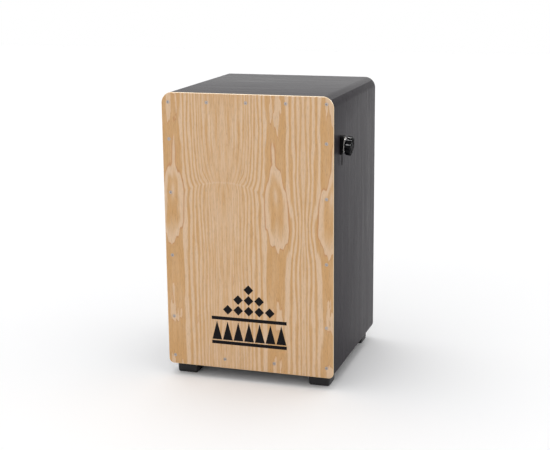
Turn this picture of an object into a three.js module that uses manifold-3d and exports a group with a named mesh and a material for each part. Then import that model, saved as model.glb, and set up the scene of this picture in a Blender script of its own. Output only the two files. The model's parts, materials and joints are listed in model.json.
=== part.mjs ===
// A cajon, or box drum. Four mitred plywood panels make the shell. A thin front plate, the tapa, is
// screwed to a frame of battens inside the shell's front edge, and the back panel, with a round sound
// hole, is glued in a rebate. Behind the tapa a swinging bar carries two fans of snare wires. A pull
// cord on the bar's lever leaves through the right wall, where a knob clamps it under a plate.
//
// Millimetres, +Z up, the tapa faces -Y. The origin is on the floor, in the middle of the whole
// object's footprint, clamp knob included.

import * as THREE from "three";
import { mergeVertices } from "three/addons/utils/BufferGeometryUtils.js";
import Module from "manifold-3d";

const wasm = await Module();
wasm.setup();

// Driving dimensions.
const GAP = 0.3; // between pieces that touch
const BODY_WIDTH = 300;
const BODY_DEPTH = 296; // tapa included
const BODY_HEIGHT = 480; // feet not included
const TOP_RADIUS = 19; // outer corners, seen from the front
const BOTTOM_RADIUS = 9;
const WALL = 9;
const TAPA_THICKNESS = 3;
const BACK_THICKNESS = 5;
const BACK_RIM = 4; // wall left outside the back panel's rebate
const SOUND_HOLE_RADIUS = 57.5;
const SOUND_HOLE_Z = 320;
const BATTEN_DEPTH = 18;
const SIDE_BATTEN_WIDTH = 15;
const END_BATTEN_WIDTH = 21;

const FOOT_SIZE = 38;
const FOOT_HEIGHT = 20;
const FOOT_INSET = 10; // from the shell's edges
const FOOT_TAPER = 0.04; // how much narrower a foot is at the floor

const SNARE_BAR_DEPTH = 16;
const SNARE_BAR_HEIGHT = 22;
const SNARE_BAR_HALF_LENGTH = 132;
const SNARE_BAR_Y = -112;
const SNARE_BAR_Z = 360;
const SNARE_FAN_X = 62; // middle of a fan, from the middle of the box
const SNARE_WIRES = 10; // in each fan
const SNARE_WIRE_RADIUS = 1;
const SNARE_WIRE_RISE = 95;
const CLIP_PLATE_THICKNESS = 0.8;
const FAN_SCREW_DROP = 3.5; // below the middle of the bar
const PIVOT_RADIUS = 4;

const ADJUSTER_BEHIND_TAPA = 47.5; // middle of the clamp block
const ADJUSTER_BELOW_TOP = 85.5;
const CLAMP_TILT = THREE.MathUtils.degToRad(6.5); // the screw's axis points out and a little down
const BLOCK_HEIGHT = 31.5;
const BLOCK_WIDTH = 16;
const BLOCK_THICKNESS = 5; // at mid height, thicker above and thinner below
const KNOB_RADIUS = 16;
const KNOB_BEVEL = 1.6;
const KNOB_START = 4.6; // along the screw's axis, from the block's face
const KNOB_END = 14.3;
const KNOB_LOBES = 8;
const KNOB_NECK_RADIUS = 4.8;
const CORD_RADIUS = 0.6;
const CORD_SIDE = -4.2; // the cord runs beside the clamp screw
const CORD_RISE = 9; // where it comes out of the block, above the screw
const CORD_TAIL = 16.5; // what hangs below the block

// Screws: a head, a shank and a pointed tip.
const TAPA_SCREW = { headRadius: 2.9, rim: 0.5, head: 2, shank: 1.5, length: 16.5, tip: 2 };
const BLOCK_SCREW = { headRadius: 2.3, rim: 0.4, head: 1.5, shank: 1.2, length: 11, tip: 1.5 };
const FAN_SCREW = { headRadius: 2.8, rim: 1.6, head: 1.6, shank: 1.5, length: 12, tip: 2 };
const FOOT_SCREW = { headRadius: 4, rim: 2.4, head: 2.4, shank: 2, length: 19.5, tip: 2.5 };
const FOOT_SCREW_Z = 8; // the foot's recess hides the head this deep

// Places worked out from them.
const HALF_WIDTH = BODY_WIDTH / 2;
const INNER_HALF = HALF_WIDTH - WALL;
const FRONT = -BODY_DEPTH / 2;
const REAR = BODY_DEPTH / 2;
const SHELL_FRONT = FRONT + TAPA_THICKNESS + GAP;
const BASE = FOOT_HEIGHT;
const TOP = BASE + BODY_HEIGHT;
const BATTEN_REAR = SHELL_FRONT + BATTEN_DEPTH;
const KNOB_REACH =
  BLOCK_THICKNESS +
  KNOB_END * Math.cos(CLAMP_TILT) +
  (KNOB_RADIUS - KNOB_BEVEL) * Math.sin(CLAMP_TILT);

const ROUND = 40; // sides of a large circle
const SMALL = 10; // sides of a small one

const finish = (color, roughness, metalness = 0) => ({ color, roughness, metalness });
const FINISHES = {
  ash: finish(0xdcbc96, 0.45),
  black_wood: finish(0x1c1b1d, 0.35),
  bare_wood: finish(0xc9a67a, 0.7),
  rubber: finish(0x171717, 0.8),
  black_plastic: finish(0x121214, 0.3),
  steel: finish(0xaaa6a0, 0.35, 1),
  brass: finish(0xb58f4a, 0.35, 1),
  cord: finish(0x2a2724, 0.8),
};

// ---- Solids ----

// A geometry as a manifold-3d solid, whichever way round its faces were wound.
function solid(geometry) {
  const bare = new THREE.BufferGeometry();
  bare.setAttribute("position", geometry.getAttribute("position").clone());
  if (geometry.index) bare.setIndex(geometry.index.clone());
  const merged = mergeVertices(bare, 1e-3);
  const corners = [];
  for (let i = 0; i < merged.index.count; i += 3) {
    const [a, b, c] = merged.index.array.slice(i, i + 3);
    if (a !== b && b !== c && c !== a) corners.push(a, b, c);
  }
  const build = (order) =>
    new wasm.Manifold(
      new wasm.Mesh({
        numProp: 3,
        vertProperties: merged.getAttribute("position").array,
        triVerts: Uint32Array.from(order),
      }),
    );
  const made = build(corners);
  return made.volume() < 0 ? build(corners.reverse()) : made;
}

function geometryOf(made) {
  const mesh = made.getMesh();
  const geometry = new THREE.BufferGeometry();
  geometry.setAttribute("position", new THREE.BufferAttribute(mesh.vertProperties, 3));
  geometry.setIndex(new THREE.BufferAttribute(mesh.triVerts, 1));
  return geometry;
}

const cut = (base, tools) =>
  geometryOf(tools.reduce((left, tool) => left.subtract(solid(tool)), solid(base)));

const join = (pieces) => geometryOf(pieces.map(solid).reduce((sum, piece) => sum.add(piece)));

// A named mesh with a finish. Flat-shaded: every piece is faceted.
function piece(name, finishName, geometry) {
  const faceted = geometryOf(solid(geometry)).toNonIndexed();
  faceted.computeVertexNormals();
  const mesh = new THREE.Mesh(faceted, new THREE.MeshStandardMaterial(FINISHES[finishName]));
  mesh.name = name;
  return mesh;
}

// ---- Shapes ----

function roundedRect(halfWidth, bottom, top, bottomRadius, topRadius) {
  const quarter = Math.PI / 2;
  const right = halfWidth - bottomRadius;
  const topRight = halfWidth - topRadius;
  const shape = new THREE.Shape();
  shape.moveTo(-right, bottom);
  shape.lineTo(right, bottom);
  shape.absarc(right, bottom + bottomRadius, bottomRadius, -quarter, 0, false);
  shape.absarc(topRight, top - topRadius, topRadius, 0, quarter, false);
  shape.absarc(-topRight, top - topRadius, topRadius, quarter, 2 * quarter, false);
  shape.absarc(-right, bottom + bottomRadius, bottomRadius, 2 * quarter, 3 * quarter, false);
  return shape;
}

const polygon = (points) => new THREE.Shape(points.map(([x, y]) => new THREE.Vector2(x, y)));

// A shape drawn in X and Z, from y0 to y1.
function extrudeY(shape, y0, y1, curveSegments = 5) {
  const options = { depth: y1 - y0, bevelEnabled: false, curveSegments };
  return new THREE.ExtrudeGeometry(shape, options).rotateX(Math.PI / 2).translate(0, y1, 0);
}

// A shape drawn in Y and Z, from x0 to x1, with both ends bevelled inwards if bevel is given.
function extrudeX(shape, x0, x1, bevel = 0, curveSegments = 3) {
  const options = {
    depth: x1 - x0 - 2 * bevel,
    bevelEnabled: bevel > 0,
    bevelThickness: bevel,
    bevelSize: bevel,
    bevelOffset: -bevel,
    bevelSegments: 2,
    curveSegments,
  };
  const geometry = new THREE.ExtrudeGeometry(shape, options);
  return geometry.rotateX(Math.PI / 2).rotateZ(Math.PI / 2).translate(x0 + bevel, 0, 0);
}

// A box given by its lowest and highest corners.
function box([x0, y0, z0], [x1, y1, z1]) {
  const geometry = new THREE.BoxGeometry(x1 - x0, y1 - y0, z1 - z0);
  return geometry.translate((x0 + x1) / 2, (y0 + y1) / 2, (z0 + z1) / 2);
}

// A profile of [radius, distance] pairs turned about Y.
function turned(profile, sides = SMALL) {
  return new THREE.LatheGeometry(profile.map(([r, y]) => new THREE.Vector2(r, y)), sides);
}

const turnedX = (profile, sides) => turned(profile, sides).rotateZ(-Math.PI / 2);

const cylinderX = (radius, x0, x1, sides) =>
  turnedX([[0, x0], [radius, x0], [radius, x1], [0, x1]], sides);

function rod(from, to, radius, sides = 8) {
  const along = to.clone().sub(from);
  const turn = new THREE.Quaternion().setFromUnitVectors(
    new THREE.Vector3(0, 1, 0),
    along.clone().normalize(),
  );
  const middle = from.clone().add(to).multiplyScalar(0.5);
  return new THREE.CylinderGeometry(radius, radius, along.length(), sides)
    .applyQuaternion(turn)
    .translate(middle.x, middle.y, middle.z);
}

// A round section swept along a curve through the points.
function swept(points, radius, sides, steps) {
  const section = new THREE.Shape();
  section.absarc(0, 0, radius, 0, 2 * Math.PI, false);
  return new THREE.ExtrudeGeometry(section, {
    extrudePath: new THREE.CatmullRomCurve3(points, false, "centripetal"),
    steps,
    curveSegments: sides / 2,
    bevelEnabled: false,
  });
}

// ---- Screws ----

// A screw's outline from its head's face at 0, grown by a clearance for the hole that it goes in.
function screwProfile(screw, clearance = 0) {
  const head = screw.headRadius + clearance;
  const shank = screw.shank + clearance;
  const start = clearance ? -1 : 0; // a hole is open at the head
  const rim = screw.rim === screw.head ? screw.head + clearance : screw.rim;
  return [
    [0, start],
    [head, start],
    [head, rim],
    [shank, screw.head + clearance],
    [shank, screw.length - screw.tip + clearance],
    [0, screw.length + clearance],
  ];
}

// The cross recess that a driver fits.
function crossRecess(screw) {
  const reach = 0.62 * screw.headRadius;
  const half = 0.17 * screw.headRadius;
  const deep = 0.7 * screw.head;
  return join([
    box([-reach, -1, -half], [reach, deep, half]),
    box([-half, -1, -reach], [half, deep, reach]),
  ]);
}

// A screw with its head's face at its own origin and its point along its own +Y.
function screwMesh(name, screw, position, rotation = [0, 0, 0]) {
  const mesh = piece(name, "steel", cut(turned(screwProfile(screw)), [crossRecess(screw)]));
  mesh.position.set(...position);
  mesh.rotation.set(...rotation);
  mesh.userData.bore = turned(screwProfile(screw, GAP));
  return mesh;
}

// The hole that a screw mesh needs, in the frame of the object it is to be cut from.
function boreIn(frame, mesh) {
  mesh.updateWorldMatrix(true, false);
  frame.updateWorldMatrix(true, false);
  const toFrame = frame.matrixWorld.clone().invert().multiply(mesh.matrixWorld);
  return mesh.userData.bore.clone().applyMatrix4(toFrame);
}

// ---- The box ----

// The middle of each side's 45-degree wedge, which cuts that side's panel out of the shell.
function wedges() {
  const reach = 30;
  const over = 5;
  const shift = GAP / Math.SQRT2;
  const topHalf = HALF_WIDTH - shift;
  const top = polygon([
    [-topHalf - over, TOP + over],
    [topHalf + over, TOP + over],
    [topHalf - reach, TOP - reach],
    [-topHalf + reach, TOP - reach],
  ]);
  const bottom = polygon([
    [-topHalf - over, BASE - over],
    [topHalf + over, BASE - over],
    [topHalf - reach, BASE + reach],
    [-topHalf + reach, BASE + reach],
  ]);
  const side = (sign) =>
    polygon([
      [sign * (HALF_WIDTH + over), TOP - shift + over],
      [sign * (HALF_WIDTH - reach), TOP - shift - reach],
      [sign * (HALF_WIDTH - reach), BASE + shift + reach],
      [sign * (HALF_WIDTH + over), BASE + shift - over],
    ]);
  return { top_panel: top, bottom_panel: bottom, left_side_panel: side(-1), right_side_panel: side(1) };
}

const outline = (inset) =>
  roundedRect(
    HALF_WIDTH - inset,
    BASE + inset,
    TOP - inset,
    BOTTOM_RADIUS - inset,
    TOP_RADIUS - inset,
  );

function makeShell(bores) {
  const block = extrudeY(outline(0), SHELL_FRONT, REAR);
  const hollow = box(
    [-INNER_HALF, FRONT, BASE + WALL],
    [INNER_HALF, REAR + 1, TOP - WALL],
  );
  const rebate = extrudeY(outline(BACK_RIM), REAR - BACK_THICKNESS - GAP, REAR + 1);
  const shell = solid(cut(block, [hollow, rebate]));
  return Object.entries(wedges()).map(([name, wedge]) => {
    const panel = shell.intersect(solid(extrudeY(wedge, FRONT, REAR + 1)));
    return piece(name, "black_wood", cut(geometryOf(panel), bores));
  });
}

function makeBackPanel() {
  const panel = extrudeY(outline(BACK_RIM + GAP), REAR - BACK_THICKNESS, REAR);
  const profile = [[0, 0], [SOUND_HOLE_RADIUS, 0], [SOUND_HOLE_RADIUS, REAR + 1], [0, REAR + 1]];
  const hole = turned(profile, ROUND).translate(0, 0, SOUND_HOLE_Z);
  return piece("back_panel", "black_wood", cut(panel, [hole]));
}

// Where the tapa's screws go: a row along the top and the bottom, and a column down each side. The
// two rows rise a little to the right, and the right column sits a little higher than the left one.
function tapaScrewPlaces() {
  const column = 138;
  const rightRise = 2.5;
  const row = (places, z, slope) => places.map((x) => [x, z + slope * x]);
  const topRow = row([-column, -69, 0, 69, column], TOP - 14.5, 0.016);
  const bottomRow = row([-column, -45, 45, column], BASE + 16.7, 0.009);
  const sides = [400.5, 308.5, 197.5, 87].flatMap((z) => [
    [-column, BASE + z],
    [column, BASE + z + rightRise],
  ]);
  return [...topRow, ...sides, ...bottomRow];
}

function makeTapaScrews() {
  return tapaScrewPlaces().map(([x, z], i) => {
    const number = String(i + 1).padStart(2, "0");
    return screwMesh(`tapa_screw_${number}`, TAPA_SCREW, [x, FRONT, z]);
  });
}

const makeTapa = (bores) =>
  piece("tapa", "ash", cut(extrudeY(outline(0), FRONT, FRONT + TAPA_THICKNESS), bores));

function makeBattens(bores) {
  const half = INNER_HALF - GAP;
  const low = BASE + WALL + GAP;
  const high = TOP - WALL - GAP;
  const sideLow = low + END_BATTEN_WIDTH + GAP;
  const sideHigh = high - END_BATTEN_WIDTH - GAP;
  const spans = {
    front_batten_top: [-half, half, high - END_BATTEN_WIDTH, high],
    front_batten_bottom: [-half, half, low, low + END_BATTEN_WIDTH],
    front_batten_left: [-half, -half + SIDE_BATTEN_WIDTH, sideLow, sideHigh],
    front_batten_right: [half - SIDE_BATTEN_WIDTH, half, sideLow, sideHigh],
  };
  return Object.entries(spans).map(([name, [x0, x1, z0, z1]]) =>
    piece(name, "bare_wood", cut(box([x0, SHELL_FRONT, z0], [x1, BATTEN_REAR, z1]), bores)),
  );
}

// ---- Feet ----

// A rubber block with eased edges, narrower at the floor, with a recess for its screw.
function footGeometry() {
  const bevel = 2;
  const half = FOOT_SIZE / 2 - bevel;
  const block = new THREE.ExtrudeGeometry(roundedRect(half, -half, half, 3, 3), {
    depth: FOOT_HEIGHT - GAP - 2 * bevel,
    bevelThickness: bevel,
    bevelSize: bevel,
    bevelSegments: 1,
    curveSegments: 2,
  }).translate(0, 0, bevel);
  const position = block.getAttribute("position");
  for (let i = 0; i < position.count; i += 1) {
    const narrower = 1 - FOOT_TAPER * (1 - position.getZ(i) / FOOT_HEIGHT);
    position.setX(i, position.getX(i) * narrower);
    position.setY(i, position.getY(i) * narrower);
  }
  const recess = turned([[0, -1], [5.2, -1], [5.2, FOOT_SCREW_Z], [0, FOOT_SCREW_Z]]);
  return { block, recess: recess.rotateX(Math.PI / 2) };
}

function makeFeet() {
  const x = HALF_WIDTH - FOOT_INSET - FOOT_SIZE / 2;
  const yFront = SHELL_FRONT + FOOT_INSET + FOOT_SIZE / 2 - GAP;
  const yRear = REAR - FOOT_INSET - FOOT_SIZE / 2;
  const corners = {
    front_left: [-x, yFront],
    front_right: [x, yFront],
    rear_left: [-x, yRear],
    rear_right: [x, yRear],
  };
  const upwards = [Math.PI / 2, 0, 0];
  return Object.entries(corners).flatMap(([where, [footX, footY]]) => {
    const place = new THREE.Object3D();
    place.position.set(footX, footY, 0);
    const at = [footX, footY, FOOT_SCREW_Z];
    const screw = screwMesh(`foot_screw_${where}`, FOOT_SCREW, at, upwards);
    const { block, recess } = footGeometry();
    const foot = piece(`foot_${where}`, "rubber", cut(block, [recess, boreIn(place, screw)]));
    foot.position.copy(place.position);
    return [foot, screw];
  });
}

// ---- Snares ----

// One fan: a clip plate on the bar's front, and wires that rise and lean against the tapa.
function fanGeometry(bores) {
  const plateHalf = 31;
  const plateRear = SNARE_BAR_Y - SNARE_BAR_DEPTH / 2 - GAP;
  const plateFront = plateRear - CLIP_PLATE_THICKNESS;
  const plate = box([-plateHalf, plateFront, SNARE_BAR_Z - 8], [plateHalf, plateRear, SNARE_BAR_Z + 8]);
  const footPitch = 5.6;
  const tipPitch = 7.6;
  const footZ = SNARE_BAR_Z + 3;
  const tipY = FRONT + TAPA_THICKNESS + GAP + SNARE_WIRE_RADIUS + 0.2;
  const wires = Array.from({ length: SNARE_WIRES }, (_, i) => {
    const step = i - (SNARE_WIRES - 1) / 2;
    const foot = new THREE.Vector3(step * footPitch, plateFront - 0.4, footZ);
    const tip = new THREE.Vector3(step * tipPitch, tipY, SNARE_BAR_Z + SNARE_WIRE_RISE);
    return rod(foot, tip, SNARE_WIRE_RADIUS, 6);
  });
  return cut(join([plate, ...wires]), bores);
}

function makeFans() {
  const plateFront = SNARE_BAR_Y - SNARE_BAR_DEPTH / 2 - GAP - CLIP_PLATE_THICKNESS;
  const headFace = plateFront - GAP - FAN_SCREW.head;
  const screwZ = SNARE_BAR_Z - FAN_SCREW_DROP;
  return [
    ["left", -SNARE_FAN_X],
    ["right", SNARE_FAN_X],
  ].map(([where, x]) => {
    const place = new THREE.Object3D();
    place.position.x = x;
    const screws = [-20, 20].map((offset, i) =>
      screwMesh(`snare_fan_screw_${where}_${i + 1}`, FAN_SCREW, [x + offset, headFace, screwZ]),
    );
    const fan = piece(`snare_fan_${where}`, "steel", fanGeometry(screws.map((s) => boreIn(place, s))));
    fan.position.copy(place.position);
    return { fan, screws };
  });
}

// The lever: an angle bracket on the bar's rear face, with a hole for the cord and one for the spring.
const LEVER_X = 126.25;
const LEVER_TIP_Y = -78;
const LEVER_CORD_Z = SNARE_BAR_Z + 2.5;
const LEVER_SPRING_Z = SNARE_BAR_Z - 2.5;
const LEVER_THICKNESS = 1.5;
const LEVER_FOOT = 15; // how far the foot reaches along the bar

function makeLever() {
  const barRear = SNARE_BAR_Y + SNARE_BAR_DEPTH / 2;
  const armX0 = LEVER_X - LEVER_THICKNESS / 2;
  const armX1 = LEVER_X + LEVER_THICKNESS / 2;
  const screw = screwMesh(
    "snare_lever_screw",
    FAN_SCREW,
    [LEVER_X - 10, barRear + 2 * GAP + LEVER_THICKNESS + FAN_SCREW.head, SNARE_BAR_Z],
    [Math.PI, 0, 0],
  );
  const foot = box(
    [armX0 - LEVER_FOOT, barRear + GAP, SNARE_BAR_Z - 8],
    [armX1, barRear + GAP + LEVER_THICKNESS, SNARE_BAR_Z + 8],
  );
  const arm = box(
    [armX0, barRear + GAP, SNARE_BAR_Z - 5.5],
    [armX1, LEVER_TIP_Y + 4, SNARE_BAR_Z + 5.5],
  );
  const holes = [LEVER_CORD_Z, LEVER_SPRING_Z].map((z) =>
    cylinderX(1.4, armX0 - 1, armX1 + 1, 8).translate(0, LEVER_TIP_Y, z),
  );
  const place = new THREE.Object3D();
  const geometry = cut(join([foot, arm]), [boreIn(place, screw), ...holes]);
  return { lever: piece("snare_lever", "steel", geometry), screw };
}

// The steel pins pressed into the bar's ends, which turn in the pivot blocks.
const PIN_INNER = SNARE_BAR_HALF_LENGTH - 12;
const PIN_OUTER = INNER_HALF - 2;

function makePivots() {
  const blockHalf = 14;
  const block = cut(
    box(
      [INNER_HALF - GAP - 8, -blockHalf, -blockHalf],
      [INNER_HALF - GAP, blockHalf, blockHalf],
    ),
    [cylinderX(PIVOT_RADIUS + GAP, 0, HALF_WIDTH, 16)],
  );
  const pin = cylinderX(PIVOT_RADIUS, PIN_INNER, PIN_OUTER, 16);
  return [
    ["right", 0],
    ["left", Math.PI],
  ].flatMap(([where, turn]) => {
    const meshes = [
      piece(`pivot_block_${where}`, "bare_wood", block),
      piece(`pivot_pin_${where}`, "steel", pin),
    ];
    meshes.forEach((mesh) => {
      mesh.position.set(0, SNARE_BAR_Y, SNARE_BAR_Z);
      mesh.rotation.z = turn;
    });
    return meshes;
  });
}

function makeSnareBar(bores) {
  const section = roundedRect(
    SNARE_BAR_DEPTH / 2,
    -SNARE_BAR_HEIGHT / 2,
    SNARE_BAR_HEIGHT / 2,
    2.5,
    2.5,
  );
  const rail = extrudeX(section, -SNARE_BAR_HALF_LENGTH, SNARE_BAR_HALF_LENGTH)
    .translate(0, SNARE_BAR_Y, SNARE_BAR_Z);
  const pinBores = [-1, 1].map((sign) =>
    cylinderX(PIVOT_RADIUS + GAP, PIN_INNER - GAP, HALF_WIDTH, 16)
      .rotateZ(sign > 0 ? 0 : Math.PI)
      .translate(0, SNARE_BAR_Y, SNARE_BAR_Z),
  );
  return piece("snare_bar", "bare_wood", cut(rail, [...pinBores, ...bores]));
}

// The return spring hangs from the lever and is hooked on a peg in the wall.
const PEG_Z = 296;
const PEG_GROOVE = 1.8;

function makeSpringPeg() {
  const start = LEVER_X - 5.5;
  const profile = [
    [0, start],
    [3, start],
    [3, LEVER_X - 2.5],
    [PEG_GROOVE, LEVER_X - 2],
    [PEG_GROOVE, LEVER_X + 2],
    [3, LEVER_X + 2.5],
    [3, INNER_HALF - GAP],
    [1.5, INNER_HALF - GAP],
    [1.5, INNER_HALF + 5],
    [0, INNER_HALF + 6],
  ];
  const peg = piece("spring_peg", "steel", turnedX(profile).translate(0, LEVER_TIP_Y, PEG_Z));
  const bore = cylinderX(1.5 + GAP, INNER_HALF - 1, INNER_HALF + 6 + GAP);
  return { peg, bore: bore.translate(0, LEVER_TIP_Y, PEG_Z) };
}

// An arc of [across, height] pairs about a centre's height, from one angle to another, in degrees.
function arc(radius, centre, from, to, steps = 10) {
  return Array.from({ length: steps + 1 }, (_, i) => {
    const angle = THREE.MathUtils.degToRad(from + ((to - from) * i) / steps);
    return [radius * Math.cos(angle), centre + radius * Math.sin(angle)];
  });
}

function makeSpring() {
  const wire = 0.45;
  const coilRadius = 3.5;
  const turns = 10;
  const perTurn = 8;
  const coilLow = PEG_Z + 10;
  const coilHigh = LEVER_SPRING_Z - 12;
  const lowerRadius = PEG_GROOVE + wire + GAP + 0.1;
  const upperRadius = 2.2;
  const steps = turns * perTurn;
  const coil = Array.from({ length: steps + 1 }, (_, i) => {
    const angle = (2 * Math.PI * i) / perTurn;
    const z = coilLow + ((coilHigh - coilLow) * i) / steps;
    return [coilRadius * Math.sin(angle), coilRadius * Math.cos(angle), z];
  });
  const points = [
    ...arc(lowerRadius, PEG_Z, -225, 0).map(([y, z]) => [0, y, z]),
    ...coil,
    ...arc(upperRadius, LEVER_SPRING_Z - upperRadius, 180, -45).map(([x, z]) => [x, 0, z]),
  ];
  const route = points.map(([x, y, z]) => new THREE.Vector3(LEVER_X + x, LEVER_TIP_Y + y, z));
  return piece("return_spring", "steel", swept(route, wire, 6, 100));
}

// ---- Snare adjuster on the right wall ----

// The adjuster's frame is on the wall's outer face. The clamp's frame is on the block's face, with
// its own +X along the clamp screw.
const adjuster = new THREE.Group();
adjuster.position.set(HALF_WIDTH, FRONT + ADJUSTER_BEHIND_TAPA, TOP - ADJUSTER_BELOW_TOP);
const clamp = new THREE.Group();
clamp.position.x = BLOCK_THICKNESS;
clamp.rotation.y = CLAMP_TILT;
adjuster.add(clamp);
adjuster.updateMatrixWorld(true);

const INSERT = { outer: 4, inner: 2.8, start: -13, end: -2 };
const PLATE = { start: 0.6, end: 2, halfWidth: 6.5, halfHeight: 12 };
const CLAMP_SCREW = { radius: 2.5, start: -12, end: 9.7 };
const BUSH = { bore: 1.3, sleeve: 2.6, flange: 4.5 }; // radii
const CORD_SLOT = 1.2; // half the width of the block's slot for the cord

function makeBlockScrews() {
  const inwards = [0, 0, Math.PI / 2];
  return [
    screwMesh("block_screw_upper", BLOCK_SCREW, [-0.1, 3.6, 11.4], inwards),
    screwMesh("block_screw_lower", BLOCK_SCREW, [-0.1, 3.6, -11.4], inwards),
  ];
}

// Bores along the clamp screw, in the clamp's frame, through the block and into the wall.
const clampBores = () => [
  cylinderX(INSERT.outer + GAP, -30, INSERT.end + GAP),
  cylinderX(INSERT.inner, INSERT.end, 1),
];

// The straight hole for the cord, in the adjuster's frame.
const cordHole = (radius, x0, x1) => cylinderX(radius, x0, x1).translate(0, CORD_SIDE, CORD_RISE);

// A wedge with eased edges: its back lies on the wall and its face leans down.
function makeBlock(screws) {
  const bevel = 1.2;
  const half = BLOCK_HEIGHT / 2;
  const lean = Math.tan(CLAMP_TILT);
  const slab = extrudeX(
    roundedRect(BLOCK_WIDTH / 2, -half, half, 2.5, 4),
    GAP,
    BLOCK_THICKNESS + 4,
    bevel,
  );
  const waste = box([0, -20, -30], [20, 20, 30]).rotateY(CLAMP_TILT).translate(BLOCK_THICKNESS, 0, 0);
  const [slotLeft, slotRight] = [CORD_SIDE - CORD_SLOT, CORD_SIDE + CORD_SLOT];
  const slotTop = CORD_RISE + 0.8;
  const groove = box([-1.2, slotLeft, -30], [1, slotRight, slotTop]);
  const mouth = box([-2.4, slotLeft, CORD_RISE - 4], [1, slotRight, slotTop]);
  const inAdjuster = (geometry) => geometry.applyMatrix4(clamp.matrix);
  const tools = [
    waste,
    inAdjuster(groove),
    inAdjuster(mouth),
    ...clampBores().map(inAdjuster),
    cordHole(1.6, -1, 10),
    ...screws.map((screw) => boreIn(adjuster, screw)),
  ];
  return piece("clamp_block", "black_plastic", cut(slab, tools));
}

function makeInsert() {
  const { outer, inner, start, end } = INSERT;
  const tube = cut(cylinderX(outer, start, end), [cylinderX(inner, start - 1, end + 1)]);
  return piece("threaded_insert", "brass", tube);
}

function makeClampPlate() {
  const { start, end, halfWidth, halfHeight } = PLATE;
  const plate = extrudeX(roundedRect(halfWidth, -halfHeight, halfHeight, 2.5, 2.5), start, end);
  return piece("clamp_plate", "steel", cut(plate, [cylinderX(INSERT.inner, -1, 5)]));
}

const makeClampScrew = () =>
  piece("clamp_screw", "steel", cylinderX(CLAMP_SCREW.radius, CLAMP_SCREW.start, CLAMP_SCREW.end));

// The knob's outline: round lobes with narrow notches between them.
function lobedOutline() {
  const depth = 2.6;
  const points = [];
  const count = KNOB_LOBES * 6;
  for (let i = 0; i < count; i += 1) {
    const angle = (2 * Math.PI * i) / count;
    const lobe = Math.sqrt(0.5 + 0.5 * Math.cos(KNOB_LOBES * angle));
    const radius = KNOB_RADIUS - depth * (1 - lobe);
    points.push([radius * Math.cos(angle), radius * Math.sin(angle)]);
  }
  return polygon(points);
}

function makeKnob() {
  const neck = cylinderX(KNOB_NECK_RADIUS, PLATE.end + GAP, KNOB_START + 1);
  const head = extrudeX(lobedOutline(), KNOB_START, KNOB_END, KNOB_BEVEL);
  const bore = cylinderX(CLAMP_SCREW.radius + GAP, 0, CLAMP_SCREW.end + GAP);
  return piece("clamp_knob", "black_plastic", cut(join([neck, head]), [bore]));
}

// A flanged bush that lines the wall's cord hole on the inside.
function makeCordBush() {
  const flange = -WALL - 1.8;
  const seat = -WALL - GAP;
  const profile = [
    [BUSH.bore, flange],
    [BUSH.flange, flange],
    [BUSH.flange, seat],
    [BUSH.sleeve, seat],
    [BUSH.sleeve, -1],
    [BUSH.bore, -1],
    [BUSH.bore, flange],
  ];
  return piece("cord_bush", "black_plastic", turnedX(profile).translate(0, CORD_SIDE, CORD_RISE));
}

// The pull cord, one length: knotted through the lever, up to the bush, out through the wall and the
// block, down behind the clamp plate, and a short end hanging free.
function makeCord() {
  const inClamp = (x, z) => new THREE.Vector3(x, CORD_SIDE, z).applyMatrix4(clamp.matrixWorld);
  const wallY = adjuster.position.y + CORD_SIDE;
  const holeZ = adjuster.position.z + CORD_RISE;
  const at = (x, y, z) => new THREE.Vector3(x, y, z);
  const blockFoot = inClamp(-0.3, -BLOCK_HEIGHT / 2 - 0.6);
  const hangs = [2, 6, 10, CORD_TAIL].map((drop) => at(blockFoot.x, wallY, blockFoot.z - drop));
  const mouth = inClamp(-0.3, CORD_RISE - 3);
  const route = [
    at(LEVER_X - 5, LEVER_TIP_Y, LEVER_CORD_Z),
    at(LEVER_X - 1, LEVER_TIP_Y, LEVER_CORD_Z),
    at(LEVER_X + 1.6, LEVER_TIP_Y, LEVER_CORD_Z + 0.2),
    at(LEVER_X + 3.6, LEVER_TIP_Y - 1, LEVER_CORD_Z + 3),
    at(LEVER_X + 4.2, LEVER_TIP_Y - 5, LEVER_CORD_Z + 13),
    at(LEVER_X + 4.6, LEVER_TIP_Y - 14, LEVER_CORD_Z + 34),
    at(LEVER_X + 5.2, LEVER_TIP_Y - 22.5, LEVER_CORD_Z + 54),
    at(LEVER_X + 7, wallY, holeZ - 3.4),
    at(LEVER_X + 10.5, wallY, holeZ - 0.3),
    at(INNER_HALF, wallY, holeZ),
    at(HALF_WIDTH, wallY, holeZ),
    at(mouth.x - 2.2, wallY, holeZ),
    at(mouth.x - 0.7, wallY, holeZ - 0.7),
    mouth,
    inClamp(-0.3, 0),
    inClamp(-0.3, -BLOCK_HEIGHT / 4),
    inClamp(-0.3, -BLOCK_HEIGHT / 2 + 1),
    ...hangs,
  ];
  const knot = new THREE.SphereGeometry(1.7, 8, 6).translate(LEVER_X - 5, LEVER_TIP_Y, LEVER_CORD_Z);
  return piece("pull_cord", "cord", join([swept(route, CORD_RADIUS, 8, 64), knot]));
}

// ---- Assembly ----

const body = new THREE.Group();
body.add(adjuster);

const blockScrews = makeBlockScrews();
clamp.add(...blockScrews);
clamp.add(makeInsert(), makeClampPlate(), makeClampScrew(), makeKnob());
adjuster.add(makeBlock(blockScrews), makeCordBush());

const fans = makeFans();
const { lever, screw: leverScrew } = makeLever();
const snareScrews = [...fans.flatMap(({ screws }) => screws), leverScrew];
body.add(...fans.map(({ fan }) => fan), lever, ...snareScrews, ...makePivots());
body.add(makeSnareBar(snareScrews.map((screw) => boreIn(body, screw))));

const { peg, bore: pegBore } = makeSpringPeg();
body.add(peg, makeSpring(), makeCord());

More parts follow.
